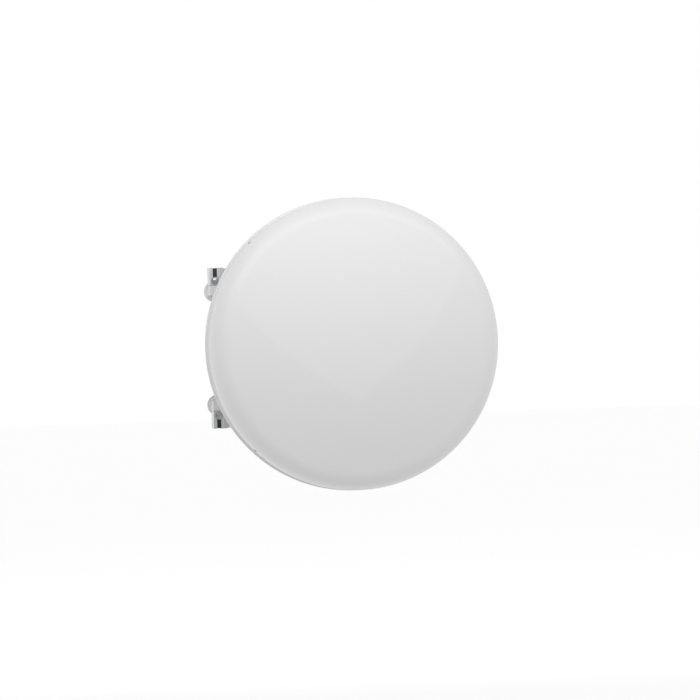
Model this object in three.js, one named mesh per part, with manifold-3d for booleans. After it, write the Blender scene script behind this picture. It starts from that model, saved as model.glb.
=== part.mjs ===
// Shrouded parabolic antenna with a moulded radome, on an offset mast mount with two pole clamps.
// Millimetres, +Z up. The origin is on the axis of the largest mast, halfway between the clamps. The antenna
// looks along -Y, and its own axis runs along Y at x = DISH_X.
import * as THREE from "three";
import { mergeVertices } from "three/addons/utils/BufferGeometryUtils.js";
import Module from "manifold-3d";

const wasm = await Module();
wasm.setup();

// Gap between pieces that touch.
const GAP = 0.3;

// Antenna: places along Y, and radii about its axis.
const DISH_X = 192;
const RIM_Y = -330;
const RIM_R = 330;
const REAR_RIM_R = 332;
const REAR_RIM_Y = -269;
const DOME_FLAT_R = 288;
const DOME_EDGE_RISE = 42;
const DOME_CENTRE_RISE = 52;
const DOME_WALL = 4;
const SKIRT_LENGTH = 14;
const SKIRT_WALL = 3;
const SHROUD_WALL = 2.6;
const ABSORBER_WALL = 12;
const BOWL_R = 300;
const BOWL_VERTEX_Y = -130;
const BOWL_FOCAL = 163;
const BOWL_WALL = 3;
const BOWL_HOLE_R = 22;
const RING_IN_R = 58;
const RING_OUT_R = 90;
const RING_BOLT_R = 76;
const RING_BACK_Y = -118;
const HUB_R = 40;
const HUB_BACK_Y = -96;
const TUBE_R = 10.3;
const TUBE_BORE_R = 7.5;
const TUBE_FRONT_Y = -287;
const SPLASH_R = 36;
const SPLASH_Y = -308;
const RADOME_SCREWS = 4;
const SEGMENTS = 48;

// Fine adjustment: pivots, plates and threaded rods.
const AZ_X = 55;
const AZ_Y = -110;
const AZ_LUG_Z = 104;
const AZ_LUG_R = 15;
const AZ_ARM = 60;
const AZ_ROD_Z = 118;
const EL_Y = -75;
const EL_ARM = 45;
const EL_PLATE_X = 92;
const EL_ROD_X = 109;
const LOCK_R = 62;
const TRAVEL_DEG = 15;
const PLATE = 6;
const M8 = 4;
const M10 = 5;
const NUT_FLAT_M8 = 13;
const NUT_FLAT_M10 = 16;
const NUT_M8 = 6.5;
const NUT_STANDOFF = 5.5;

// Mast clamps.
const CLAMP_TRAVEL = 48;
const BOLT_X = 58;
const BOLT_Z = 155;
const FORK_X = 83.5;
const JAW_Z = 144;
const JAW_TOP = 185.5;
const JAW_END = 25;
const JAW_SLOT = 9;
const JAW_FRONT = 85;
const JAW_BACK = 50.5;
const JAW_RECESS = 7;
const GROOVE_DEPTH = 52;
const GROOVE_HALF_ANGLE = 60;
const GROOVE_X = 46;
const WEB_X = 62;
const WEB_FRONT = 78;
const WEB = 8;
const EAR_R = 24;
const EAR_X = 80;
const EAR_Z = 131;
const EAR_TOP = 167;
const BLOCK_Z = 122;
const CLAMP_BOLT_END = 96;
const JAW_BOLT_END = -38;

const rad = THREE.MathUtils.degToRad;

const colours = {
  shell: [0xf2f3f2, 0.45, 0],
  paint: [0xe6e8e8, 0.5, 0.1],
  alloy: [0xb4b7ba, 0.42, 0.9],
  spun: [0xc9ccce, 0.35, 0.95],
  zinc: [0xa7abae, 0.35, 0.95],
  foam: [0x2b2d30, 0.95, 0],
  plastic: [0xe9e4d6, 0.5, 0],
  black: [0x1d1e20, 0.6, 0],
};
const materials = Object.fromEntries(
  Object.entries(colours).map(([name, [color, roughness, metalness]]) => [
    name,
    new THREE.MeshStandardMaterial({ name, color, roughness, metalness }),
  ]),
);

const group = new THREE.Group();

function place(name, material, solid) {
  const { vertProperties, triVerts } = solid.getMesh();
  const geometry = new THREE.BufferGeometry();
  geometry.setAttribute("position", new THREE.BufferAttribute(vertProperties, 3));
  geometry.setIndex(new THREE.BufferAttribute(triVerts, 1));
  geometry.computeVertexNormals();
  const mesh = new THREE.Mesh(geometry, materials[material]);
  mesh.name = name;
  group.add(mesh);
}

function solidOf(geometry) {
  geometry.deleteAttribute("normal");
  geometry.deleteAttribute("uv");
  const merged = mergeVertices(geometry, 1e-4);
  const mesh = new wasm.Mesh({
    numProp: 3,
    vertProperties: merged.attributes.position.array,
    triVerts: new Uint32Array(merged.index.array),
  });
  return new wasm.Manifold(mesh);
}

// A block from its lowest to its highest corner.
function block(low, high) {
  const [w, d, h] = high.map((v, i) => v - low[i]);
  const geometry = new THREE.BoxGeometry(w, d, h);
  geometry.translate(low[0] + w / 2, low[1] + d / 2, low[2] + h / 2);
  return solidOf(geometry);
}

// A round or hexagonal rod between two places along X, Y or Z; centre holds the other two coordinates.
function rod(axis, centre, from, to, r, sides = 12) {
  const geometry = new THREE.CylinderGeometry(r, r, to - from, sides);
  geometry.translate(0, (from + to) / 2, 0);
  if (axis === "x") geometry.rotateZ(-Math.PI / 2).translate(0, centre[0], centre[1]);
  if (axis === "y") geometry.translate(centre[0], 0, centre[1]);
  if (axis === "z") geometry.rotateX(Math.PI / 2).translate(centre[0], centre[1], 0);
  return solidOf(geometry);
}

// A closed profile of [radius, y] points, turned about the antenna's axis.
function turned(points, segments) {
  const area = points.reduce((sum, [r, y], i) => {
    const [nextR, nextY] = points[(i + 1) % points.length];
    return sum + r * nextY - nextR * y;
  }, 0);
  const ordered = area > 0 ? points : [...points].reverse();
  const onAxis = ordered.findIndex(([r], i) => r === 0 && ordered.at(i - 1)[0] === 0);
  const start = Math.max(onAxis, 0);
  const loop = [...ordered.slice(start), ...ordered.slice(0, start)];
  if (onAxis < 0) loop.push(loop[0]);
  const profile = loop.map(([r, y]) => new THREE.Vector2(r, y));
  return solidOf(new THREE.LatheGeometry(profile, segments).translate(DISH_X, 0, 0));
}

// An outline of [x, y] points, extruded along Z.
function prism(points, z0, z1) {
  const shape = new THREE.Shape(points.map(([x, y]) => new THREE.Vector2(x, y)));
  const geometry = new THREE.ExtrudeGeometry(shape, { depth: z1 - z0, bevelEnabled: false });
  return solidOf(geometry.translate(0, 0, z0));
}

// A hexagon's corner radius from its width across flats.
const corner = (flat) => flat / Math.sqrt(3);

function hexNut(axis, centre, from, to, flat, holeR) {
  const hole = rod(axis, centre, from - 1, to + 1, holeR, 10);
  return rod(axis, centre, from, to, corner(flat), 6).subtract(hole);
}

function placeM8Nut(name, axis, centre, from, to = from + NUT_M8) {
  place(name, "zinc", hexNut(axis, centre, from, to, NUT_FLAT_M8, M8 + GAP));
}

function hexBolt(axis, centre, headFrom, headTo, shankTo, r, flat) {
  const head = rod(axis, centre, Math.min(headFrom, headTo), Math.max(headFrom, headTo), corner(flat), 6);
  const shank = rod(axis, centre, Math.min(headTo, shankTo) - 0.5, Math.max(headTo, shankTo) + 0.5, r, 10);
  return head.add(shank);
}

// Parabola of the bowl's front face.
const bowlY = (r) => BOWL_VERTEX_Y - (r * r) / (4 * BOWL_FOCAL);

// Radome: gently crowned middle, round shoulder, short skirt over the shroud.
function radome() {
  const shoulder = RIM_R - DOME_FLAT_R;
  const crown = (r) => -DOME_CENTRE_RISE + (DOME_CENTRE_RISE - DOME_EDGE_RISE) * (r / DOME_FLAT_R) ** 2;
  const face = (inset) => {
    const points = [0, 0.35, 0.7, 1].map((t) => [DOME_FLAT_R * t, RIM_Y + crown(DOME_FLAT_R * t) + inset]);
    for (const angle of [22.5, 45, 67.5, 90]) {
      const r = DOME_FLAT_R + (shoulder - inset) * Math.sin(rad(angle));
      points.push([r, RIM_Y - (DOME_EDGE_RISE - inset) * Math.cos(rad(angle))]);
    }
    return points;
  };
  const outer = face(0);
  const inner = face(DOME_WALL);
  inner[inner.length - 1] = [RIM_R - SKIRT_WALL - 1, RIM_Y];
  const skirtEnd = RIM_Y + SKIRT_LENGTH;
  const skirt = [
    [RIM_R, skirtEnd],
    [RIM_R - SKIRT_WALL, skirtEnd],
    [RIM_R - SKIRT_WALL, RIM_Y],
  ];
  let shell = turned([...outer, ...skirt, ...inner.reverse()], SEGMENTS);
  radomeScrewAngles.forEach((angle) => {
    shell = shell.subtract(radial(angle, RIM_Y + SKIRT_LENGTH / 2, RIM_R - 8, RIM_R + 2, 2.3));
  });
  place("radome", "shell", shell);
}

const radomeScrewAngles = Array.from({ length: RADOME_SCREWS }, (_, i) => 90 * i + 45);

// A rod that points at the antenna's axis, between two radii.
function radial(angle, y, fromR, toR, r) {
  const geometry = new THREE.CylinderGeometry(r, r, toR - fromR, 10);
  geometry.translate(0, (fromR + toR) / 2, 0).rotateX(Math.PI / 2);
  geometry.rotateY(rad(angle)).translate(DISH_X, y, 0);
  return solidOf(geometry);
}

function radomeScrews() {
  const y = RIM_Y + SKIRT_LENGTH / 2;
  radomeScrewAngles.forEach((angle, i) => {
    const shankIn = RIM_R - SKIRT_WALL - GAP - SHROUD_WALL;
    const head = radial(angle, y, RIM_R + GAP, REAR_RIM_R, 4);
    place(`radome_screw_${i + 1}`, "zinc", head.add(radial(angle, y, shankIn, RIM_R + 1, 2)));
  });
}

function shroud() {
  const outR = RIM_R - SKIRT_WALL - GAP;
  const inR = outR - SHROUD_WALL;
  let wall = turned(
    [
      [inR, RIM_Y + GAP],
      [outR, RIM_Y + GAP],
      [outR, REAR_RIM_Y - 3],
      [REAR_RIM_R, REAR_RIM_Y - 3],
      [REAR_RIM_R, REAR_RIM_Y],
      [inR, REAR_RIM_Y],
    ],
    SEGMENTS,
  );
  radomeScrewAngles.forEach((angle) => {
    wall = wall.subtract(radial(angle, RIM_Y + SKIRT_LENGTH / 2, inR - 2, outR + 2, 2.3));
  });
  wall = wall.subtract(radial(180, DRAIN_Y, inR - 2, outR + 2, 3.3));
  place("shroud", "paint", wall);
  const drainHead = radial(180, DRAIN_Y, outR + GAP, outR + 3, 6);
  place("drain_plug", "black", drainHead.add(radial(180, DRAIN_Y, inR, outR + 1, 3)));
  const lining = inR - 1;
  const rows = [
    [lining - ABSORBER_WALL, RIM_Y + 3],
    [lining, RIM_Y + 3],
    [lining, REAR_RIM_Y - 3],
    [lining - ABSORBER_WALL, REAR_RIM_Y - 3],
  ];
  place("absorber_lining", "foam", turned(rows, SEGMENTS));
}
const DRAIN_Y = -292;

function reflector() {
  const radii = [BOWL_HOLE_R, 75, 130, 185, 240, BOWL_R];
  const front = radii.map((r) => [r, bowlY(r)]);
  const back = radii.map((r) => [r, bowlY(r) + BOWL_WALL]).reverse();
  const flange = [
    [REAR_RIM_R, REAR_RIM_Y + GAP],
    [REAR_RIM_R, REAR_RIM_Y + GAP + BOWL_WALL],
  ];
  place("reflector", "spun", turned([...front, ...flange, ...back], SEGMENTS));
}

const ringBoltAngles = [45, 135, 225, 315];
const ringBoltAt = (angle) => [
  DISH_X + RING_BOLT_R * Math.cos(rad(angle)),
  RING_BOLT_R * Math.sin(rad(angle)),
];

// Ring that stiffens the bowl, with the bolts that hold it and the elevation plate's foot.
function backRing() {
  const frontY = (r) => bowlY(r) + BOWL_WALL + GAP + 1;
  let ring = turned(
    [
      [RING_IN_R, frontY(RING_IN_R)],
      [RING_OUT_R, frontY(RING_OUT_R)],
      [RING_OUT_R, RING_BACK_Y],
      [RING_IN_R, RING_BACK_Y],
    ],
    32,
  );
  ringBoltAngles.forEach((angle, i) => {
    const at = ringBoltAt(angle);
    const seat = at[0] < DISH_X ? RING_BACK_Y + GAP + PLATE + GAP : RING_BACK_Y + GAP;
    ring = ring.subtract(rod("y", at, RING_BACK_Y - 40, RING_BACK_Y + 5, M8 + 0.4, 12));
    const ringBolt = hexBolt("y", at, seat + 5.3, seat, RING_BACK_Y - 10, M8, NUT_FLAT_M8);
    place(`ring_bolt_${i + 1}`, "zinc", ringBolt);
  });
  place("back_ring", "alloy", ring);
}

// Hub, and the feed that turns in it to set the polarisation.
function feed() {
  const hub = turned(
    [
      [TUBE_R + GAP, BOWL_VERTEX_Y - 4],
      [BOWL_HOLE_R - 0.5, BOWL_VERTEX_Y - 4],
      [BOWL_HOLE_R - 0.5, BOWL_VERTEX_Y + BOWL_WALL + 0.6],
      [HUB_R, BOWL_VERTEX_Y + BOWL_WALL + 0.6],
      [HUB_R, HUB_BACK_Y],
      [22, HUB_BACK_Y],
      [22, HUB_BACK_Y - 3],
      [18, HUB_BACK_Y - 3],
      [18, HUB_BACK_Y],
      [TUBE_R + GAP, HUB_BACK_Y],
    ],
    32,
  );
  place("hub", "alloy", hub);
  const seal = [
    [18.4, HUB_BACK_Y - 2.6],
    [21.6, HUB_BACK_Y - 2.6],
    [21.6, HUB_BACK_Y],
    [18.4, HUB_BACK_Y],
  ];
  place("feed_seal", "black", turned(seal, 24));
  const flangeY = HUB_BACK_Y + GAP;
  const flangeBack = flangeY + 12;
  place("feed_tube", "alloy", turned(
    [
      [TUBE_BORE_R, TUBE_FRONT_Y],
      [TUBE_R, TUBE_FRONT_Y],
      [TUBE_R, flangeY],
      [30, flangeY],
      [30, flangeBack],
      [TUBE_BORE_R, flangeBack],
    ],
    20,
  ));
  place("feed_cone", "plastic", turned(
    [
      [0, SPLASH_Y],
      [SPLASH_R - 2, SPLASH_Y],
      [TUBE_R, TUBE_FRONT_Y - GAP],
      [TUBE_BORE_R - GAP, TUBE_FRONT_Y - GAP],
      [TUBE_BORE_R - GAP, TUBE_FRONT_Y + 16],
      [0, TUBE_FRONT_Y + 16],
    ],
    20,
  ));
  place("sub_reflector", "spun", turned(
    [
      [0, SPLASH_Y - GAP - 8],
      [SPLASH_R - 6, SPLASH_Y - GAP - 8],
      [SPLASH_R, SPLASH_Y - GAP - 4],
      [SPLASH_R, SPLASH_Y - GAP],
      [0, SPLASH_Y - GAP],
    ],
    20,
  ));
  place("port_cap", "black", turned(
    [
      [0, flangeBack + GAP],
      [15, flangeBack + GAP],
      [15, flangeBack + 7],
      [12, flangeBack + 9],
      [0, flangeBack + 9],
    ],
    20,
  ));
  let clamp = turned(
    [
      [30 + GAP, flangeY],
      [HUB_R, flangeY],
      [HUB_R, flangeBack + GAP + 4],
      [24, flangeBack + GAP + 4],
      [24, flangeBack + GAP],
      [30 + GAP, flangeBack + GAP],
    ],
    32,
  );
  [90, 210, 330].forEach((angle, i) => {
    const at = [DISH_X + 35 * Math.cos(rad(angle)), 35 * Math.sin(rad(angle))];
    clamp = clamp.subtract(rod("y", at, flangeY - 1, flangeBack + 8, 2.3, 10));
    const top = flangeBack + 4 + 2 * GAP;
    const screw = rod("y", at, top, top + 3.5, 3.6, 10).add(rod("y", at, flangeY + 1, top + 1, 2, 8));
    place(`feed_clamp_screw_${i + 1}`, "zinc", screw);
  });
  place("feed_clamp_ring", "alloy", clamp);
}

// A slotted hole through a plate: two ends joined by a block.
function slot(axis, a, b, from, to, r) {
  const spread = (k) => (a[k] === b[k] ? r : 0);
  const low = [0, 1].map((k) => Math.min(a[k], b[k]) - spread(k));
  const high = [0, 1].map((k) => Math.max(a[k], b[k]) + spread(k));
  const middle = axis === "z"
    ? block([...low, from], [...high, to])
    : block([low[0], from, low[1]], [high[0], to, high[1]]);
  return middle.add(rod(axis, a, from, to, r, 12)).add(rod(axis, b, from, to, r, 12));
}

// Plate bolted to the back ring: turns about the elevation pivot, with two arc slots for the lock bolts.
function elevationPlate() {
  const x0 = EL_PLATE_X;
  const x1 = EL_PLATE_X + PLATE;
  const footY = RING_BACK_Y + GAP;
  let plate = block([x0, footY, -76], [x1, EL_Y + 17, 76])
    .add(block([x0, footY, -75], [DISH_X - HUB_R - 2, footY + PLATE, 75]))
    .add(block([x0, EL_Y, -12], [x1, EL_Y + EL_ARM + 12, 12]))
    .add(block([x0, EL_Y + EL_ARM - 12, -PLATE / 2], [EL_ROD_X + 12, EL_Y + EL_ARM + 12, PLATE / 2]));
  plate = plate.subtract(rod("x", [EL_Y, 0], x0 - 1, x1 + 1, M10 + 0.3, 16));
  for (const side of [-1, 1])
    for (let angle = -TRAVEL_DEG - 1; angle <= TRAVEL_DEG + 1; angle += 4) {
      const at = [EL_Y + LOCK_R * Math.sin(rad(angle)), side * LOCK_R * Math.cos(rad(angle))];
      plate = plate.subtract(rod("x", at, x0 - 1, x1 + 1, M8 + 0.9, 12));
    }
  for (const angle of ringBoltAngles.filter((a) => Math.cos(rad(a)) < 0))
    plate = plate.subtract(rod("y", ringBoltAt(angle), footY - 1, footY + PLATE + 1, M8 + 0.4, 12));
  const inner = [EL_ROD_X, EL_Y + EL_ARM - 1];
  const outer = [EL_ROD_X, EL_Y + EL_ARM + 2.6];
  plate = plate.subtract(slot("z", inner, outer, -PLATE, PLATE, M8 + 1.5));
  place("elevation_plate", "paint", plate);
}

// Bracket between mast bracket and elevation plate: upright plate, two lugs on the azimuth pivot, two arms.
function azimuthBracket() {
  const x1 = EL_PLATE_X - GAP;
  const x0 = x1 - PLATE;
  const lugTop = AZ_LUG_Z + PLATE;
  let bracket = block([x0, EL_Y - 37, -lugTop], [x1, EL_Y + 15, lugTop]);
  for (const side of [-1, 1]) {
    const z0 = side > 0 ? AZ_LUG_Z : -lugTop;
    bracket = bracket
      .add(block([AZ_X, AZ_Y - 2, z0], [x1, AZ_Y + AZ_LUG_R, z0 + PLATE]))
      .add(rod("z", [AZ_X, AZ_Y], z0, z0 + PLATE, AZ_LUG_R, 24))
      .subtract(rod("z", [AZ_X, AZ_Y], z0 - 1, z0 + PLATE + 1, M10 + 0.3, 16));
    bracket = bracket.subtract(rod("x", [EL_Y, side * LOCK_R], x0 - 1, x1 + 1, M8 + 0.3, 12));
  }
  const tabX = AZ_X - AZ_ARM;
  bracket = bracket
    .subtract(rod("x", [EL_Y, 0], x0 - 1, x1 + 1, M10 + 0.3, 16))
    .add(block([tabX - 12, AZ_Y - 8, AZ_LUG_Z], [AZ_X, AZ_Y + 8, lugTop])
      .subtract(rod("z", [AZ_X, AZ_Y], AZ_LUG_Z - 1, lugTop + 1, M10 + 0.3, 16)))
    .add(block([tabX - 12, AZ_Y - PLATE / 2, AZ_LUG_Z], [tabX + 12, AZ_Y + PLATE / 2, AZ_ROD_Z + 13]))
    .add(block([x0, EL_Y + 12, -80], [x1, EL_Y + EL_ARM + 12, -55]))
    .add(block([x0, EL_Y + EL_ARM - 12, -80], [EL_ROD_X + 12, EL_Y + EL_ARM + 12, -80 + PLATE]))
    .subtract(rod("z", [EL_ROD_X, EL_Y + EL_ARM], -90, -70, M8 + 0.3, 12))
    .subtract(slot("y", [tabX - 2.6, AZ_ROD_Z], [tabX + 1, AZ_ROD_Z], AZ_Y - 5, AZ_Y + 5, M8 + 1.5));
  place("azimuth_bracket", "paint", bracket);
}

// Bolts across the two plates: the pivot in the middle, a lock bolt above and below it.
function elevationBolts() {
  const headX = EL_PLATE_X + PLATE + GAP;
  const nutX = EL_PLATE_X - GAP - PLATE - GAP;
  const fasteners = [
    ["elevation_pivot", 0, M10, NUT_FLAT_M10, 7],
    ["elevation_lock_upper", LOCK_R, M8, NUT_FLAT_M8, NUT_M8],
    ["elevation_lock_lower", -LOCK_R, M8, NUT_FLAT_M8, NUT_M8],
  ];
  for (const [name, z, r, flat, height] of fasteners) {
    const at = [EL_Y, z];
    place(`${name}_bolt`, "zinc", hexBolt("x", at, headX + height, headX, nutX - height - 2, r, flat));
    place(`${name}_nut`, "zinc", hexNut("x", at, nutX - height, nutX, flat, r + GAP));
  }
}

// Threaded rods with their pairs of adjusting nuts.
function adjusters() {
  const elAt = [EL_ROD_X, EL_Y + EL_ARM];
  place("elevation_rod", "zinc", rod("z", elAt, -94, 34, M8, 10));
  const shelf = -80;
  placeM8Nut("elevation_rod_foot_nut", "z", elAt, shelf - GAP - NUT_M8, shelf - GAP);
  placeM8Nut("elevation_rod_seat_nut", "z", elAt, shelf + PLATE + GAP);
  placeM8Nut("elevation_nut_upper", "z", elAt, NUT_STANDOFF);
  placeM8Nut("elevation_nut_lower", "z", elAt, -NUT_STANDOFF - NUT_M8, -NUT_STANDOFF);
  const azAt = [AZ_X - AZ_ARM, AZ_ROD_Z];
  place("azimuth_rod", "zinc", rod("y", azAt, AZ_Y - 32, -62, M8, 10));
  const webBack = -WEB_FRONT + WEB;
  placeM8Nut("azimuth_rod_nut", "y", azAt, webBack + GAP, webBack + GAP + 5);
  placeM8Nut("azimuth_nut_front", "y", azAt, AZ_Y - NUT_STANDOFF - NUT_M8, AZ_Y - NUT_STANDOFF);
  placeM8Nut("azimuth_nut_rear", "y", azAt, AZ_Y + NUT_STANDOFF);
}

// Painted bracket in front of the mast: hat section, corner blocks under the jaws, ears and pivot lugs.
function mastBracket() {
  const end = JAW_Z;
  const flangeY = -JAW_BACK;
  let bracket = block([-WEB_X, -WEB_FRONT, -end], [WEB_X, -WEB_FRONT + WEB, end]);
  for (const side of [-1, 1]) {
    const wall = side > 0 ? [WEB_X - WEB, WEB_X] : [-WEB_X, -WEB_X + WEB];
    bracket = bracket.add(block([wall[0], -WEB_FRONT, -end], [wall[1], flangeY + WEB, end]));
    for (const up of [-1, 1]) {
      const z = up > 0 ? [BLOCK_Z, end] : [-end, -BLOCK_Z];
      const x = side > 0 ? [WEB_X - 1, BOLT_X + JAW_END / 2] : [-FORK_X - JAW_END / 2, -WEB_X + 1];
      bracket = bracket.add(block([x[0], -JAW_FRONT, z[0]], [x[1], flangeY, z[1]]));
    }
  }
  for (const up of [-1, 1]) {
    const lift = up > 0 ? [EAR_Z, EAR_TOP] : [-EAR_TOP, -EAR_Z];
    const ear = rod("y", [-EAR_X, up * EAR_Z], flangeY, flangeY + WEB, EAR_R, 28)
      .add(block([-FORK_X - 10, flangeY, lift[0]], [-FORK_X + 10, flangeY + WEB, lift[1]]))
      .subtract(rod("y", [-FORK_X, up * BOLT_Z], flangeY - 1, flangeY + WEB + 1, M8 + GAP, 16));
    const root = block([-EAR_X, flangeY, Math.min(up * (EAR_Z - 14), up * (EAR_Z + 14))],
      [-WEB_X + 1, flangeY + WEB, Math.max(up * (EAR_Z - 14), up * (EAR_Z + 14))]);
    const z1 = up > 0 ? AZ_LUG_Z - GAP : -AZ_LUG_Z + GAP + PLATE;
    const lug = block([AZ_X - AZ_LUG_R, AZ_Y, z1 - PLATE], [AZ_X + AZ_LUG_R, -WEB_FRONT + 1, z1])
      .add(rod("z", [AZ_X, AZ_Y], z1 - PLATE, z1, AZ_LUG_R, 24));
    bracket = bracket.add(ear).add(root).add(lug)
      .subtract(rod("z", [AZ_X, AZ_Y], z1 - PLATE - 1, z1 + 1, M10 + 0.3, 16));
    const headZ = up * (AZ_LUG_Z + PLATE + GAP);
    const nutFar = up * (AZ_LUG_Z - PLATE - 2 * GAP);
    const nutEnds = [Math.min(nutFar, nutFar - up * 7), Math.max(nutFar, nutFar - up * 7)];
    const name = up > 0 ? "upper" : "lower";
    place(`azimuth_pivot_bolt_${name}`, "zinc",
      hexBolt("z", [AZ_X, AZ_Y], headZ + up * 7, headZ, nutFar - up * 9, M10, NUT_FLAT_M10));
    place(`azimuth_pivot_nut_${name}`, "zinc",
      hexNut("z", [AZ_X, AZ_Y], nutEnds[0], nutEnds[1], NUT_FLAT_M10, M10 + GAP));
  }
  const rodHole = rod("y", [AZ_X - AZ_ARM, AZ_ROD_Z], -WEB_FRONT - 1, -WEB_FRONT + WEB + 1, M8 + 0.3, 12);
  place("mast_bracket", "paint", bracket.subtract(rodHole));
}

// Front jaw: V groove on the mast side, a slotted boss for each clamp bolt, and a forked end at the left
// that bolts to the bracket's ear.
function frontJaw() {
  const recess = -JAW_FRONT + JAW_RECESS;
  const back = -JAW_BACK - GAP;
  const outline = [
    [-FORK_X - JAW_END / 2, -JAW_FRONT],
    [-FORK_X + JAW_END / 2, -JAW_FRONT],
    [-FORK_X + JAW_END / 2, recess],
    [BOLT_X - JAW_END / 2 - 4, recess],
    [BOLT_X - JAW_END / 2, -JAW_FRONT],
    [BOLT_X + JAW_END / 2, -JAW_FRONT],
    [BOLT_X + JAW_END / 2, back],
    ...groove(back),
    [-FORK_X - JAW_END / 2, back],
  ];
  return slotted(prism(outline, JAW_Z + GAP, JAW_TOP), [-FORK_X, -BOLT_X, BOLT_X]);
}

// The V groove and its two wings, from right to left.
function groove(back) {
  const wingY = -GROOVE_DEPTH + GROOVE_X / Math.tan(rad(GROOVE_HALF_ANGLE));
  const right = [
    [GROOVE_X + 4, back],
    [GROOVE_X + 2, wingY],
    [GROOVE_X, wingY],
  ];
  return [...right, [0, -GROOVE_DEPTH], ...right.map(([x, y]) => [-x, y]).reverse()];
}

// Rear jaw: the same groove between two slotted bosses, closed onto the smallest mast.
function rearJaw() {
  const end = BOLT_X + JAW_SLOT / 2 + 6;
  const back = -JAW_BACK - GAP;
  const outline = [[-end, -JAW_FRONT], [end, -JAW_FRONT], [end, back], ...groove(back), [-end, back]];
  const solid = slotted(prism(outline, JAW_Z + GAP, JAW_TOP), [-BOLT_X, BOLT_X]);
  return solid.mirror([0, 1, 0]).translate([0, -CLAMP_TRAVEL, 0]);
}

// Slots open to the jaw's outer face, which the bolts drop into.
function slotted(solid, places) {
  const cuts = places.map((x) =>
    slot("y", [x, BOLT_Z], [x, JAW_TOP + 20], -JAW_FRONT - 1, -JAW_BACK + 1, JAW_SLOT / 2));
  return cuts.reduce((left, cut) => left.subtract(cut), solid);
}

function clamps() {
  for (const [where, up] of [["upper", 1], ["lower", -1]]) {
    const facing = (solid) => (up > 0 ? solid : solid.mirror([0, 0, 1]));
    place(`${where}_front_jaw`, "alloy", facing(frontJaw()));
    place(`${where}_rear_jaw`, "alloy", facing(rearJaw()));
    const seat = JAW_FRONT + GAP;
    const bolt = (at, face, end) => hexBolt("y", at, -face - 5.5, -face, end, M8, NUT_FLAT_M8);
    const forkAt = [-FORK_X, up * BOLT_Z];
    const washer = rod("y", forkAt, -seat - 1.5, -seat, 9.5, 20);
    place(`${where}_jaw_bolt`, "zinc", bolt(forkAt, seat, JAW_BOLT_END).add(washer));
    for (const [hand, side] of [["left", -1], ["right", 1]]) {
      const at = [side * BOLT_X, up * BOLT_Z];
      const face = side < 0 ? seat - JAW_RECESS : seat;
      place(`${where}_${hand}_clamp_bolt`, "zinc", bolt(at, face, CLAMP_BOLT_END));
      placeM8Nut(`${where}_${hand}_clamp_nut`, "y", at, seat - CLAMP_TRAVEL);
    }
  }
}

radome();
radomeScrews();
shroud();
reflector();
backRing();
feed();
elevationPlate();
azimuthBracket();
elevationBolts();
adjusters();
mastBracket();
clamps();

export default group;
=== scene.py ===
import math

import bmesh
import bpy
from mathutils import Matrix, Vector


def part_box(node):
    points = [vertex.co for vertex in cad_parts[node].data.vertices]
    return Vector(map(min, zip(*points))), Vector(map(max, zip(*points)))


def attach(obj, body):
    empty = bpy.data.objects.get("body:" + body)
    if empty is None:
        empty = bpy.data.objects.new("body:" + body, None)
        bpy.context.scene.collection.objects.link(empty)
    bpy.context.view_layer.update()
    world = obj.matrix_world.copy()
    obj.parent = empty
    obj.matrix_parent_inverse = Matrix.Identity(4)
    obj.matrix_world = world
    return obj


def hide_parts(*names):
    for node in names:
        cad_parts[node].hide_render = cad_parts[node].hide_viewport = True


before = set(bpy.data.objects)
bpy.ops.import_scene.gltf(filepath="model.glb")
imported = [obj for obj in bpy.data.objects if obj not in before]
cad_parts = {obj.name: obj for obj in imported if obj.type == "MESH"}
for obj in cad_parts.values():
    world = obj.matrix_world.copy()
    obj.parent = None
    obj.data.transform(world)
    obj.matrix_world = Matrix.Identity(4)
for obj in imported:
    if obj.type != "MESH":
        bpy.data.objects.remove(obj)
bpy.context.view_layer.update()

MM = 0.001

# Driving sizes in metres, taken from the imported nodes.
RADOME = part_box("radome")
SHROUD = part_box("shroud")
AXIS_X = (RADOME[0][0] + RADOME[1][0]) / 2
RIM_R = (RADOME[1][0] - RADOME[0][0]) / 2
REAR_R = (SHROUD[1][0] - SHROUD[0][0]) / 2
SKIRT = 14 * MM
RIM_Y = RADOME[1][1] - SKIRT
FACE_Y = RADOME[0][1]
REAR_Y = SHROUD[1][1]
EDGE_RISE = 42 * MM
CENTRE_RISE = RIM_Y - FACE_Y
FLAT_R = RIM_R - EDGE_RISE
BOWL_HOLE = 22 * MM
VERTEX_Y = -130 * MM
FOCAL = 163 * MM
WALL = 3 * MM


# Camera, at the photograph's viewing angle.
def make_camera():
    distance = 9.0
    frame_width = 1.578
    azimuth, elevation, roll = math.radians(-11), math.radians(-0.1), math.radians(-1.7)
    aim_right, aim_up = -11.6 * MM, -13.6 * MM
    back = Vector((
        math.sin(azimuth) * math.cos(elevation),
        -math.cos(azimuth) * math.cos(elevation),
        math.sin(elevation),
    ))
    turn = back.to_track_quat("Z", "Y").to_matrix()
    centre = Vector((AXIS_X, RIM_Y, 0))
    target = centre + turn @ Vector((aim_right, aim_up, 0))
    data = bpy.data.cameras.new("camera")
    data.sensor_width = 36
    data.lens = data.sensor_width * distance / frame_width
    data.clip_start, data.clip_end = 0.05, 100
    camera = bpy.data.objects.new("camera", data)
    bpy.context.scene.collection.objects.link(camera)
    camera.matrix_world = (
        Matrix.Translation(target + back * distance)
        @ turn.to_4x4()
        @ Matrix.Rotation(roll, 4, "Z")
    )
    bpy.context.scene.camera = camera


make_camera()


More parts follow.
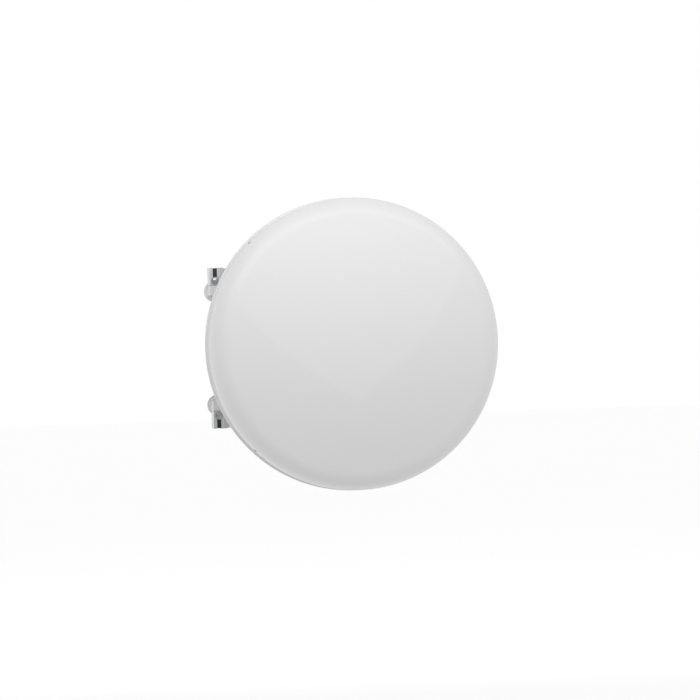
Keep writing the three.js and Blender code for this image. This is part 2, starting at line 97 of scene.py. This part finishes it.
# Materials. Each is a node tree: tone that varies, roughness that varies, and fine bump.
def finish_of(name, color, roughness, metallic=0.0, tone=0.03, tone_scale=9.0, grain=600.0,
              bump=0.15, depth=0.0002, rough_spread=0.08, spin=False, wear=0.0, coat=0.0, sheen=0.0):
    material = bpy.data.materials.new(name)
    material.use_nodes = True
    tree = material.node_tree
    shader = tree.nodes["Principled BSDF"]
    shader.inputs["Metallic"].default_value = metallic
    shader.inputs["Coat Weight"].default_value = coat
    shader.inputs["Sheen Weight"].default_value = sheen
    place = tree.nodes.new("ShaderNodeTexCoord").outputs["Object"]

    cloud = tree.nodes.new("ShaderNodeTexNoise")
    cloud.inputs["Scale"].default_value = tone_scale
    cloud.inputs["Detail"].default_value = 5
    tree.links.new(place, cloud.inputs["Vector"])
    ramp = tree.nodes.new("ShaderNodeValToRGB")
    ramp.color_ramp.elements[0].position = 0.3
    ramp.color_ramp.elements[1].position = 0.7
    ramp.color_ramp.elements[0].color = (*[c * (1 - tone) for c in color], 1)
    ramp.color_ramp.elements[1].color = (*[min(1, c * (1 + tone)) for c in color], 1)
    tree.links.new(cloud.outputs["Fac"], ramp.inputs["Fac"])
    tint = ramp.outputs["Color"]
    if wear:
        tint = add_wear(tree, tint, color, wear)
    tree.links.new(tint, shader.inputs["Base Color"])

    spread = tree.nodes.new("ShaderNodeMapRange")
    spread.inputs["To Min"].default_value = roughness - rough_spread
    spread.inputs["To Max"].default_value = roughness + rough_spread
    fine = tree.nodes.new("ShaderNodeTexNoise")
    fine.inputs["Scale"].default_value = grain * 0.1
    fine.inputs["Detail"].default_value = 3
    tree.links.new(place, fine.inputs["Vector"])
    tree.links.new(fine.outputs["Fac"], spread.inputs["Value"])
    tree.links.new(spread.outputs["Result"], shader.inputs["Roughness"])

    height = turning_marks(tree, place, grain) if spin else grain_height(tree, place, grain)
    relief = tree.nodes.new("ShaderNodeBump")
    relief.inputs["Strength"].default_value = bump
    relief.inputs["Distance"].default_value = depth
    tree.links.new(height, relief.inputs["Height"])
    tree.links.new(relief.outputs["Normal"], shader.inputs["Normal"])
    return material


def grain_height(tree, place, grain):
    noise = tree.nodes.new("ShaderNodeTexNoise")
    noise.inputs["Scale"].default_value = grain
    noise.inputs["Detail"].default_value = 2
    tree.links.new(place, noise.inputs["Vector"])
    return noise.outputs["Fac"]


def turning_marks(tree, place, grain):
    shift = tree.nodes.new("ShaderNodeMapping")
    shift.inputs["Location"].default_value = (-AXIS_X, 0, 0)
    tree.links.new(place, shift.inputs["Vector"])
    rings = tree.nodes.new("ShaderNodeTexWave")
    rings.wave_type = "RINGS"
    rings.rings_direction = "Y"
    rings.inputs["Scale"].default_value = grain * 0.25
    rings.inputs["Distortion"].default_value = 0.6
    rings.inputs["Detail"].default_value = 2
    tree.links.new(shift.outputs["Vector"], rings.inputs["Vector"])
    return rings.outputs["Fac"]


def add_wear(tree, tint, color, wear):
    pointy = tree.nodes.new("ShaderNodeNewGeometry").outputs["Pointiness"]
    edge = tree.nodes.new("ShaderNodeMapRange")
    edge.inputs["From Min"].default_value = 0.51
    edge.inputs["From Max"].default_value = 0.60
    edge.inputs["To Max"].default_value = wear
    tree.links.new(pointy, edge.inputs["Value"])
    mix = tree.nodes.new("ShaderNodeMix")
    mix.data_type = "RGBA"
    tree.links.new(edge.outputs["Result"], mix.inputs["Factor"])
    tree.links.new(tint, mix.inputs["A"])
    mix.inputs["B"].default_value = (*[min(1, c * 1.25 + 0.05) for c in color], 1)
    return mix.outputs["Result"]


SHELL = finish_of("radome_shell", (0.81, 0.81, 0.81), 0.46, tone=0.006, tone_scale=3, grain=900, bump=0.05)
PAINT = finish_of("painted_shell", (0.82, 0.822, 0.825), 0.45, tone=0.015, grain=1400, bump=0.12, coat=0.1)
BRACKET = finish_of("painted_bracket", (0.76, 0.763, 0.767), 0.5, tone=0.03, grain=900, bump=0.25, wear=0.3)
SPUN = finish_of("spun_aluminium", (0.66, 0.67, 0.68), 0.34, 1.0, tone=0.03, grain=1500, bump=0.12, spin=True)
CAST = finish_of("cast_aluminium", (0.66, 0.668, 0.675), 0.4, 0.9, tone=0.06, tone_scale=30, grain=1100,
                 bump=0.35, depth=0.0003, wear=0.5)
ZINC = finish_of("zinc_steel", (0.42, 0.425, 0.43), 0.3, 1.0, tone=0.10, tone_scale=60, grain=900,
                 bump=0.15, wear=0.5)
FOAM = finish_of("absorber_foam", (0.035, 0.037, 0.04), 0.95, tone=0.3, tone_scale=120, grain=420,
                 bump=0.9, depth=0.002, rough_spread=0.04, sheen=0.2)
CONE = finish_of("dielectric", (0.78, 0.74, 0.64), 0.38, tone=0.02, grain=700, bump=0.08, spin=True)
RUBBER = finish_of("seal_rubber", (0.025, 0.025, 0.026), 0.7, tone=0.15, grain=800, bump=0.3)
# Black plastic for the port cap and drain plug; the same black is also the painted shade block in each jaw
# fork.
BLACK_CAP_AND_SHADE = finish_of("cap_plastic", (0.03, 0.03, 0.032), 0.5, tone=0.1, grain=1200, bump=0.3)


# Mesh helpers.
def add_piece(name, mesh, body, material, nodes):
    piece = bpy.data.objects.new(name, mesh)
    bpy.context.scene.collection.objects.link(piece)
    mesh.materials.clear()
    mesh.materials.append(material)
    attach(piece, body)
    if nodes:
        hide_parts(*nodes)
    return piece


def mesh_from(name, work, smooth_deg=35):
    bmesh.ops.recalc_face_normals(work, faces=work.faces)
    mesh = bpy.data.meshes.new(name)
    work.to_mesh(mesh)
    work.free()
    mesh.shade_smooth()
    mesh.set_sharp_from_angle(angle=math.radians(smooth_deg))
    return mesh


def revolved(name, profile, segments=192):
    """A closed ring or disc: [radius, y] points turned about the antenna's axis."""
    work = bmesh.new()
    rows = []
    for r, y in profile:
        if r < 1e-7:
            rows.append([work.verts.new((AXIS_X, y, 0))])
            continue
        turn = [2 * math.pi * i / segments for i in range(segments)]
        rows.append([work.verts.new((AXIS_X + r * math.cos(a), y, r * math.sin(a))) for a in turn])
    closed = len(rows[0]) > 1
    pairs = list(zip(rows, rows[1:])) + ([(rows[-1], rows[0])] if closed else [])
    for low, high in pairs:
        if len(low) == 1 and len(high) == 1:
            continue
        for i in range(segments):
            j = (i + 1) % segments
            corners = [low[i % len(low)], low[j % len(low)], high[j % len(high)], high[i % len(high)]]
            work.faces.new(list(dict.fromkeys(corners)))
    return mesh_from(name, work)


def rounded(points, radius, steps=4, closed=True):
    """The same outline with each corner turned into a small arc."""
    result = []
    count = len(points)
    for i, here in enumerate(points):
        before, after = points[i - 1], points[(i + 1) % count]
        if not closed and i in (0, count - 1) or here[0] < 1e-7:
            result.append(here)
            continue
        p, a, b = Vector(here), Vector(before), Vector(after)
        reach = min(radius, (a - p).length * 0.45, (b - p).length * 0.45)
        start, end = p + (a - p).normalized() * reach, p + (b - p).normalized() * reach
        for k in range(steps + 1):
            t = k / steps
            q = start * (1 - t) ** 2 + p * 2 * t * (1 - t) + end * t * t
            result.append((q.x, q.y))
    return result


def softened(node, body, material, width, segments=3):
    """A copy of a CAD node with welded corners and rounded edges, which stands for the node."""
    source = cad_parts[node]
    mesh = source.data.copy()
    work = bmesh.new()
    work.from_mesh(mesh)
    bmesh.ops.remove_doubles(work, verts=work.verts, dist=1e-5)
    bmesh.ops.dissolve_limit(work, angle_limit=math.radians(1), verts=work.verts, edges=work.edges)
    work.to_mesh(mesh)
    work.free()
    piece = add_piece(node + "_body", mesh, body, material, [node])
    bevel = piece.modifiers.new("edges", "BEVEL")
    bevel.width = width
    bevel.segments = segments
    bevel.limit_method = "ANGLE"
    bevel.angle_limit = math.radians(40)
    bevel.harden_normals = True
    mesh.shade_smooth()
    mesh.set_sharp_from_angle(angle=math.radians(40))
    apply_modifiers(piece)
    return piece


def apply_modifiers(piece):
    graph = bpy.context.evaluated_depsgraph_get()
    mesh = bpy.data.meshes.new_from_object(piece.evaluated_get(graph))
    piece.modifiers.clear()
    piece.data = mesh


AXES = {"x": Vector((1, 0, 0)), "y": Vector((0, 1, 0)), "z": Vector((0, 0, 1))}


def along(axis):
    """Turns local +Z onto a direction."""
    direction = AXES[axis] if isinstance(axis, str) else Vector(axis).normalized()
    return direction.to_track_quat("Z", "Y").to_matrix().to_4x4()


def lathe_into(work, profile, segments, matrix):
    """Adds a turned solid: [radius, z] points from axis to axis, or a closed loop off the axis."""
    rows = []
    for r, z in profile:
        if r < 1e-7:
            rows.append([work.verts.new(matrix @ Vector((0, 0, z)))])
            continue
        turn = [2 * math.pi * i / segments for i in range(segments)]
        rows.append([work.verts.new(matrix @ Vector((r * math.cos(a), r * math.sin(a), z))) for a in turn])
    pairs = list(zip(rows, rows[1:])) + ([(rows[-1], rows[0])] if len(rows[0]) > 1 else [])
    for low, high in pairs:
        for i in range(segments):
            j = (i + 1) % segments
            corners = [low[i % len(low)], low[j % len(low)], high[j % len(high)], high[i % len(high)]]
            work.faces.new(list(dict.fromkeys(corners)))


def hex_into(work, flat, z0, z1, hole, matrix):
    """Adds a chamfered hexagon: rings whose radius follows the flats, cut by a cone at each end."""
    segments = 48
    height = z1 - z0
    crown = flat / 2 * 0.97
    slope = 0.55

    def radius(angle):
        turn = (angle + math.pi / 6) % (math.pi / 3) - math.pi / 6
        return flat / 2 / math.cos(turn)

    def row(z, limit):
        points = []
        for i in range(segments):
            a = 2 * math.pi * i / segments
            r = radius(a) if limit is None else min(radius(a), limit)
            points.append(work.verts.new(matrix @ Vector((r * math.cos(a), r * math.sin(a), z))))
        return points

    def chamfer(z_face, inward):
        rows = [row(z_face, crown)]
        for limit in (crown * 1.05, crown * 1.12):
            rows.append(row(z_face + inward * (limit - crown) * slope, limit))
        rows.append(row(z_face + inward * (flat / 2 * 1.155 - crown) * slope, None))
        return rows

    rows = chamfer(z0, 1) + chamfer(z1, -1)[::-1]
    if hole:
        ring = []
        lead = height * 0.1
        for z, r in ((z1, hole * 1.15), (z1 - lead, hole), (z0 + lead, hole), (z0, hole * 1.15)):
            turn = [2 * math.pi * i / segments for i in range(segments)]
            ring.append([work.verts.new(matrix @ Vector((r * math.cos(a), r * math.sin(a), z))) for a in turn])
        rows += ring
        pairs = list(zip(rows, rows[1:])) + [(rows[-1], rows[0])]
    else:
        pairs = list(zip(rows, rows[1:]))
        work.faces.new(rows[0])
        work.faces.new(rows[-1])
    for low, high in pairs:
        for i in range(segments):
            j = (i + 1) % segments
            work.faces.new([low[i], low[j], high[j], high[i]])


def thread_into(work, r, z0, z1, pitch, matrix, segments=24):
    """Adds a rod with a helical thread and chamfered ends."""
    depth = pitch * 0.5
    rows_per_turn = 6
    count = max(2, int((z1 - z0) / pitch * rows_per_turn))
    rows = []
    for k in range(count + 1):
        z = z0 + (z1 - z0) * k / count
        row = []
        for i in range(segments):
            a = 2 * math.pi * i / segments
            wave = abs(((z / pitch - i / segments) % 1) * 2 - 1)
            end = min(z - z0, z1 - z)
            taper = max(0, 1 - end / pitch) * depth
            radius = r - depth * wave - taper * 0.6
            row.append(work.verts.new(matrix @ Vector((radius * math.cos(a), radius * math.sin(a), z))))
        rows.append(row)
    work.faces.new(rows[0])
    work.faces.new(rows[-1])
    for low, high in zip(rows, rows[1:]):
        for i in range(segments):
            j = (i + 1) % segments
            work.faces.new([low[i], low[j], high[j], high[i]])


# Pieces.
def round_shoulder(inset, steps=16):
    """Radome profile from the axis to the rim, moved inwards by inset."""
    crown = lambda r: -CENTRE_RISE + (CENTRE_RISE - EDGE_RISE) * (r / FLAT_R) ** 2
    points = [(FLAT_R * k / 12, RIM_Y + crown(FLAT_R * k / 12) + inset) for k in range(12)]
    for k in range(steps + 1):
        a = math.pi / 2 * k / steps
        points.append((FLAT_R + (EDGE_RISE - inset) * math.sin(a), RIM_Y - (EDGE_RISE - inset) * math.cos(a)))
    return points


def make_radome():
    wall, skirt_wall = 4 * MM, 3 * MM
    outer = round_shoulder(0)
    inner = round_shoulder(wall)[:-1] + [(RIM_R - skirt_wall - MM, RIM_Y)]
    end = RIM_Y + SKIRT
    lip = [
        (RIM_R, RIM_Y + 0.2 * MM),
        (RIM_R, end - 1.2 * MM),
        (RIM_R - 0.4 * MM, end - 0.4 * MM),
        (RIM_R - 1.2 * MM, end),
        (RIM_R - skirt_wall + 0.4 * MM, end),
        (RIM_R - skirt_wall, end - 0.5 * MM),
        (RIM_R - skirt_wall, RIM_Y),
    ]
    profile = outer[:-1] + lip + inner[::-1]
    mesh = revolved("radome_shell", profile, 256)
    add_piece("radome_shell", mesh, "antenna", SHELL, ["radome"])


def make_shroud():
    out_r, in_r = RIM_R - 3.3 * MM, RIM_R - 5.9 * MM
    bead = lambda y: [
        (out_r, y - 4 * MM), (out_r + 0.7 * MM, y - 2.5 * MM), (out_r + 1.1 * MM, y),
        (out_r + 0.7 * MM, y + 2.5 * MM), (out_r, y + 4 * MM),
    ]
    profile = [
        (in_r, RIM_Y + 0.4 * MM),
        (out_r, RIM_Y + 0.4 * MM),
        *bead(RIM_Y + 24 * MM),
        (out_r, REAR_Y - 5 * MM),
        (out_r + 1.2 * MM, REAR_Y - 3.4 * MM),
        (REAR_R - 0.8 * MM, REAR_Y - 3 * MM),
        (REAR_R, REAR_Y - 2.2 * MM),
        (REAR_R, REAR_Y - 0.6 * MM),
        (REAR_R - 0.6 * MM, REAR_Y),
        (in_r, REAR_Y),
    ]
    mesh = revolved("shroud_wall", profile, 256)
    add_piece("shroud_wall", mesh, "antenna", PAINT, ["shroud"])
    lining_r, thick = in_r - MM, 12 * MM
    ring = rounded([
        (lining_r - thick, RIM_Y + 3 * MM), (lining_r, RIM_Y + 3 * MM),
        (lining_r, REAR_Y - 3 * MM), (lining_r - thick, REAR_Y - 3 * MM),
    ], 2 * MM)
    add_piece("absorber", revolved("absorber", ring), "antenna", FOAM, ["absorber_lining"])


def make_bowl():
    shape = lambda r: VERTEX_Y - r * r / (4 * FOCAL)
    last = 300 * MM
    radii = [BOWL_HOLE + (last - BOWL_HOLE) * k / 24 for k in range(25)]
    front = [(r, shape(r)) for r in radii]
    back = [(r, shape(r) + WALL) for r in reversed(radii)]
    flange_y = REAR_Y + 0.3 * MM
    flange = [
        (last + 4 * MM, flange_y), (REAR_R - MM, flange_y), (REAR_R, flange_y + 0.8 * MM),
        (REAR_R, flange_y + WALL - 0.8 * MM), (REAR_R - MM, flange_y + WALL), (last + 4 * MM, flange_y + WALL),
    ]
    profile = front + flange + back
    add_piece("bowl", revolved("bowl", profile, 256), "antenna", SPUN, ["reflector"])


def make_round_castings():
    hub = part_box("hub")
    hub_r, hub_back, step_y = (hub[1][0] - hub[0][0]) / 2, hub[1][1], VERTEX_Y + WALL + 0.6 * MM
    bore = 10.7 * MM
    hub_profile = rounded([
        (bore, VERTEX_Y - 4 * MM), (BOWL_HOLE - MM, VERTEX_Y - 4 * MM),
        (BOWL_HOLE - MM, step_y), (hub_r, step_y),
        (hub_r, hub_back), (22 * MM, hub_back), (22 * MM, hub_back - 3 * MM),
        (18 * MM, hub_back - 3 * MM), (18 * MM, hub_back), (bore, hub_back),
    ], 0.8 * MM)
    add_piece("hub_body", revolved("hub_body", hub_profile, 128), "antenna", CAST, ["hub"])
    seal_y = hub_back - 1.3 * MM
    seal = [(20 * MM + 1.3 * MM * math.cos(a), seal_y + 1.3 * MM * math.sin(a))
            for a in [2 * math.pi * k / 12 for k in range(12)]]
    add_piece("seal_ring", revolved("seal_ring", seal, 96), "antenna", RUBBER, ["feed_seal"])
    softened("back_ring", "antenna", CAST, 1.2 * MM)
    softened("feed_clamp_ring", "antenna", CAST, 0.7 * MM)


def make_feed():
    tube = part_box("feed_tube")
    front, flange_back = tube[0][1], tube[1][1]
    flange_y = flange_back - 12 * MM
    bore, tube_r, flange_r = 7.5 * MM, 10.3 * MM, 30 * MM
    profile = rounded([
        (bore, front), (tube_r, front), (tube_r, flange_y), (flange_r, flange_y),
        (flange_r, flange_back), (bore, flange_back),
    ], 0.7 * MM)
    add_piece("guide_tube", revolved("guide_tube", profile, 128), "feed", CAST, ["feed_tube"])
    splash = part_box("feed_cone")[0][1]
    plug = bore - 0.3 * MM
    cone = [(0, splash)]
    cone += [(34 * MM, splash), (34 * MM, splash + 2 * MM)]
    for k in range(1, 5):
        step_r = 34 * MM - (34 * MM - tube_r) * k / 4
        step_y = splash + 2 * MM + (front - splash - 3 * MM) * k / 4
        cone += [(step_r, step_y - 2.4 * MM), (step_r, step_y)]
    cone += [(plug, front - 0.5 * MM), (plug, front + 15 * MM), (0, front + 16 * MM)]
    add_piece("cone", revolved("cone", cone, 96), "feed", CONE, ["feed_cone"])
    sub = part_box("sub_reflector")
    face, rear = sub[0][1], sub[1][1]
    disc = [
        (0, face), (29 * MM, face), (33.5 * MM, face + 1.2 * MM), (36 * MM, face + 4 * MM),
        (36 * MM, rear), (0, rear),
    ]
    mesh = revolved("splash_plate", disc, 96)
    add_piece("splash_plate", mesh, "feed", SPUN, ["sub_reflector"])
    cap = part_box("port_cap")
    near, far = cap[0][1], cap[1][1]
    lid = [
        (0, near), (14.5 * MM, near), (15 * MM, near + 0.5 * MM), (15 * MM, near + 3 * MM),
        (14.2 * MM, near + 3.6 * MM), (14.2 * MM, far - 2 * MM), (12.4 * MM, far),
        (6 * MM, far), (5 * MM, far - 1.2 * MM), (0, far - 1.2 * MM),
    ]
    add_piece("weather_cap", revolved("weather_cap", lid, 96), "feed", BLACK_CAP_AND_SHADE, ["port_cap"])


def centre_of(node):
    low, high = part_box(node)
    return (Vector(low) + Vector(high)) / 2


def fastener(node, body, axis, sign, flat, head, r, pitch, washer=0.0, plain=0.0):
    """Hex bolt: sign says which end of the node carries the head. The thread runs after the plain stretch."""
    low, high = (Vector(c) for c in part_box(node))
    middle = (low + high) / 2
    index = "xyz".index(axis)
    length = high[index] - low[index]
    start = middle.copy()
    start[index] = low[index] if sign > 0 else high[index]
    matrix = Matrix.Translation(start) @ along([sign if i == index else 0 for i in range(3)])
    work = bmesh.new()
    hex_into(work, flat, 0, head, 0, matrix)
    collar = [(0, head * 0.9), (flat * 0.52, head * 0.9), (flat * 0.52, head), (0, head)]
    if washer:
        collar = [(0, head - 1.5 * MM), (washer - 0.3 * MM, head - 1.5 * MM), (washer, head - 1.2 * MM),
                  (washer, head - 0.1 * MM), (0, head - 0.1 * MM)]
    lathe_into(work, collar, 48, matrix)
    body_end = max(plain, head + MM)
    lathe_into(work, [(0, head * 0.5), (r * 0.98, head * 0.5), (r * 0.98, body_end), (0, body_end)], 24, matrix)
    thread_into(work, r, body_end - 0.2 * MM, length, pitch, matrix)
    add_piece(node + "_turned", mesh_from(node, work), body, ZINC, [node])


def nut(node, body, axis, flat, hole):
    low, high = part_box(node)
    index = "xyz".index(axis)
    start = centre_of(node)
    start[index] = low[index]
    work = bmesh.new()
    hex_into(work, flat, 0, high[index] - low[index], hole, Matrix.Translation(start) @ along(axis))
    add_piece(node + "_turned", mesh_from(node, work), body, ZINC, [node])


def threaded_rod(node, body, axis, r, pitch):
    low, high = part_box(node)
    index = "xyz".index(axis)
    start = centre_of(node)
    start[index] = low[index]
    work = bmesh.new()
    thread_into(work, r, 0, high[index] - low[index], pitch, Matrix.Translation(start) @ along(axis))
    add_piece(node + "_thread", mesh_from(node, work), body, ZINC, [node])


def socket_screw(node, body, direction, base, head_r, head_h, shank_r, shank):
    """Domed screw with a round socket recess; base is the point under its head."""
    matrix = Matrix.Translation(base) @ along(direction)
    work = bmesh.new()
    dome = [(0, -shank), (shank_r, -shank), (shank_r, 0), (head_r, 0)]
    dome += [(head_r * math.cos(a), head_h * math.sin(a)) for a in (0.35, 0.75, 1.1)]
    dome += [(head_r * 0.36, head_h * 0.97), (head_r * 0.34, head_h * 0.35), (0, head_h * 0.3)]
    lathe_into(work, dome, 24, matrix)
    add_piece(node + "_turned", mesh_from(node, work), body, ZINC, [node])


def make_fasteners():
    for up in ("upper", "lower"):
        for side in ("left", "right"):
            fastener(f"{up}_{side}_clamp_bolt", "mast_mount", "y", 1, 13 * MM, 5.8 * MM, 4 * MM, 1.25 * MM,
                     washer=8.4 * MM, plain=60 * MM)
            nut(f"{up}_{side}_clamp_nut", f"{up}_rear_clamp", "y", 13 * MM, 4.25 * MM)
        fastener(f"{up}_jaw_bolt", "mast_mount", "y", 1, 13 * MM, 5.5 * MM, 4 * MM, 1.25 * MM,
                 washer=9.5 * MM, plain=20 * MM)
        fastener(f"azimuth_pivot_bolt_{up}", "mast_mount", "z", -1 if up == "upper" else 1,
                 16 * MM, 7 * MM, 5 * MM, 1.5 * MM, plain=13 * MM)
        nut(f"azimuth_pivot_nut_{up}", "mast_mount", "z", 16 * MM, 5.25 * MM)
        fastener(f"elevation_lock_{up}_bolt", "azimuth_arm", "x", -1, 13 * MM, 6.5 * MM, 4 * MM, 1.25 * MM,
                 plain=12 * MM)
        nut(f"elevation_lock_{up}_nut", "azimuth_arm", "x", 13 * MM, 4.25 * MM)
        nut(f"elevation_nut_{up}", "elevation_nuts", "z", 13 * MM, 4.25 * MM)
    fastener("elevation_pivot_bolt", "azimuth_arm", "x", -1, 16 * MM, 7 * MM, 5 * MM, 1.5 * MM, plain=13 * MM)
    nut("elevation_pivot_nut", "azimuth_arm", "x", 16 * MM, 5.25 * MM)
    for node in ("elevation_rod_foot_nut", "elevation_rod_seat_nut"):
        nut(node, "azimuth_arm", "z", 13 * MM, 4.25 * MM)
    nut("azimuth_rod_nut", "mast_mount", "y", 13 * MM, 4.25 * MM)
    for node in ("azimuth_nut_front", "azimuth_nut_rear"):
        nut(node, "azimuth_nuts", "y", 13 * MM, 4.25 * MM)
    threaded_rod("elevation_rod", "azimuth_arm", "z", 4 * MM, 1.25 * MM)
    threaded_rod("azimuth_rod", "mast_mount", "y", 4 * MM, 1.25 * MM)
    for i in range(1, 5):
        fastener(f"ring_bolt_{i}", "antenna", "y", -1, 13 * MM, 5.3 * MM, 4 * MM, 1.25 * MM)
    for i in range(1, 4):
        low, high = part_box(f"feed_clamp_screw_{i}")
        centre = centre_of(f"feed_clamp_screw_{i}")
        head = 3.5 * MM
        base = Vector((centre.x, high[1] - head, centre.z))
        shank = high[1] - low[1] - head
        socket_screw(f"feed_clamp_screw_{i}", "antenna", (0, 1, 0), base, 3.4 * MM, head, 2 * MM, shank)
    for i in range(1, 5):
        centre = centre_of(f"radome_screw_{i}") - Vector((AXIS_X, 0, 0))
        out = Vector((centre.x, 0, centre.z)).normalized()
        base = Vector((AXIS_X, RIM_Y + SKIRT / 2, 0)) + out * (RIM_R + 0.1 * MM)
        socket_screw(f"radome_screw_{i}", "antenna", out, base, 4 * MM, 1.8 * MM, 2 * MM, 5.5 * MM)


def make_brackets():
    softened("mast_bracket", "mast_mount", BRACKET, 1.4 * MM)
    softened("azimuth_bracket", "azimuth_arm", BRACKET, 1.0 * MM)
    softened("elevation_plate", "antenna", BRACKET, 0.8 * MM)
    for up in ("upper", "lower"):
        softened(f"{up}_front_jaw", "mast_mount", CAST, 1.0 * MM)
        softened(f"{up}_rear_jaw", f"{up}_rear_clamp", CAST, 1.0 * MM)
        fork_painted_shade(up)
    softened("drain_plug", "antenna", BLACK_CAP_AND_SHADE, 0.4 * MM)


def fork_painted_shade(up):
    """Painted shade: a black block in the jaw's fork outside the bolt, set back from the metal, that stands for
    the shade inside the slot.
    """
    low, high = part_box(f"{up}_front_jaw")
    size = Vector((8.8 * MM, 29 * MM, 24.3 * MM))
    inset = 1.5 * MM + size.z / 2
    centre = Vector((
        low[0] + 12.5 * MM,
        low[1] + 3 * MM + size.y / 2,
        high[2] - inset if up == "upper" else low[2] + inset,
    ))
    work = bmesh.new()
    bmesh.ops.create_cube(work, size=1, matrix=Matrix.LocRotScale(centre, None, size))
    # A black box with no CAD node: painted shade filling the fork's slot.
    add_piece(f"{up}_fork_painted_shade", mesh_from("shade_block", work), "mast_mount", BLACK_CAP_AND_SHADE, [])


make_radome()
make_shroud()
make_bowl()
make_round_castings()
make_feed()
make_fasteners()
make_brackets()


# Pale floor, white surroundings and one wide lamp above the camera.
LIGHT_FRONT = 0.45
LIGHT_BEHIND = 1.3
LIGHT_FROM = (0.15, 1, -0.55)


def make_stage():
    floor_material = finish_of("floor", (0.9, 0.9, 0.9), 0.8, tone=0.005, tone_scale=1, grain=60, bump=0.02)
    glow = floor_material.node_tree.nodes["Principled BSDF"].inputs
    glow["Emission Color"].default_value = (1, 1, 1, 1)
    glow["Emission Strength"].default_value = 0.35
    bpy.ops.mesh.primitive_plane_add(size=60, location=(0, 0, -0.62))
    floor = bpy.context.object
    floor.name = "floor"
    floor.data.materials.append(floor_material)
    floor.visible_diffuse = False
    floor.visible_glossy = False
    make_surroundings()


def make_surroundings():
    """White to the camera; as light, brighter from below, the sides and behind than from the front."""
    world = bpy.context.scene.world or bpy.data.worlds.new("world")
    bpy.context.scene.world = world
    world.use_nodes = True
    tree = world.node_tree
    white = tree.nodes["Background"]
    white.inputs["Color"].default_value = (1, 1, 1, 1)
    white.inputs["Strength"].default_value = 1.0
    glow = tree.nodes.new("ShaderNodeBackground")
    direction = tree.nodes.new("ShaderNodeVectorMath")
    direction.operation = "DOT_PRODUCT"
    direction.inputs[1].default_value = LIGHT_FROM
    tree.links.new(tree.nodes.new("ShaderNodeTexCoord").outputs["Generated"], direction.inputs[0])
    ramp = tree.nodes.new("ShaderNodeMapRange")
    ramp.inputs["From Min"].default_value = -1
    ramp.inputs["From Max"].default_value = 0.4
    ramp.inputs["To Min"].default_value = LIGHT_FRONT
    ramp.inputs["To Max"].default_value = LIGHT_BEHIND
    tree.links.new(direction.outputs["Value"], ramp.inputs["Value"])
    tree.links.new(ramp.outputs["Result"], glow.inputs["Strength"])
    seen = tree.nodes.new("ShaderNodeLightPath").outputs["Is Camera Ray"]
    mix = tree.nodes.new("ShaderNodeMixShader")
    tree.links.new(seen, mix.inputs["Fac"])
    tree.links.new(glow.outputs["Background"], mix.inputs[1])
    tree.links.new(white.outputs["Background"], mix.inputs[2])
    tree.links.new(mix.outputs["Shader"], tree.nodes["World Output"].inputs["Surface"])


def soft_light(name, location, power, size):
    data = bpy.data.lights.new(name, "AREA")
    data.energy = power
    data.shape = "RECTANGLE"
    data.size, data.size_y = size
    lamp = bpy.data.objects.new(name, data)
    bpy.context.scene.collection.objects.link(lamp)
    lamp.location = location
    aim = Vector((AXIS_X, RIM_Y, 0)) - Vector(location)
    lamp.rotation_euler = aim.to_track_quat("-Z", "Y").to_euler()


make_stage()
bpy.context.scene.view_settings.view_transform = "Standard"
soft_light("top_light", (0.1, -1.3, 0.75), 10.9, (2.4, 0.5))
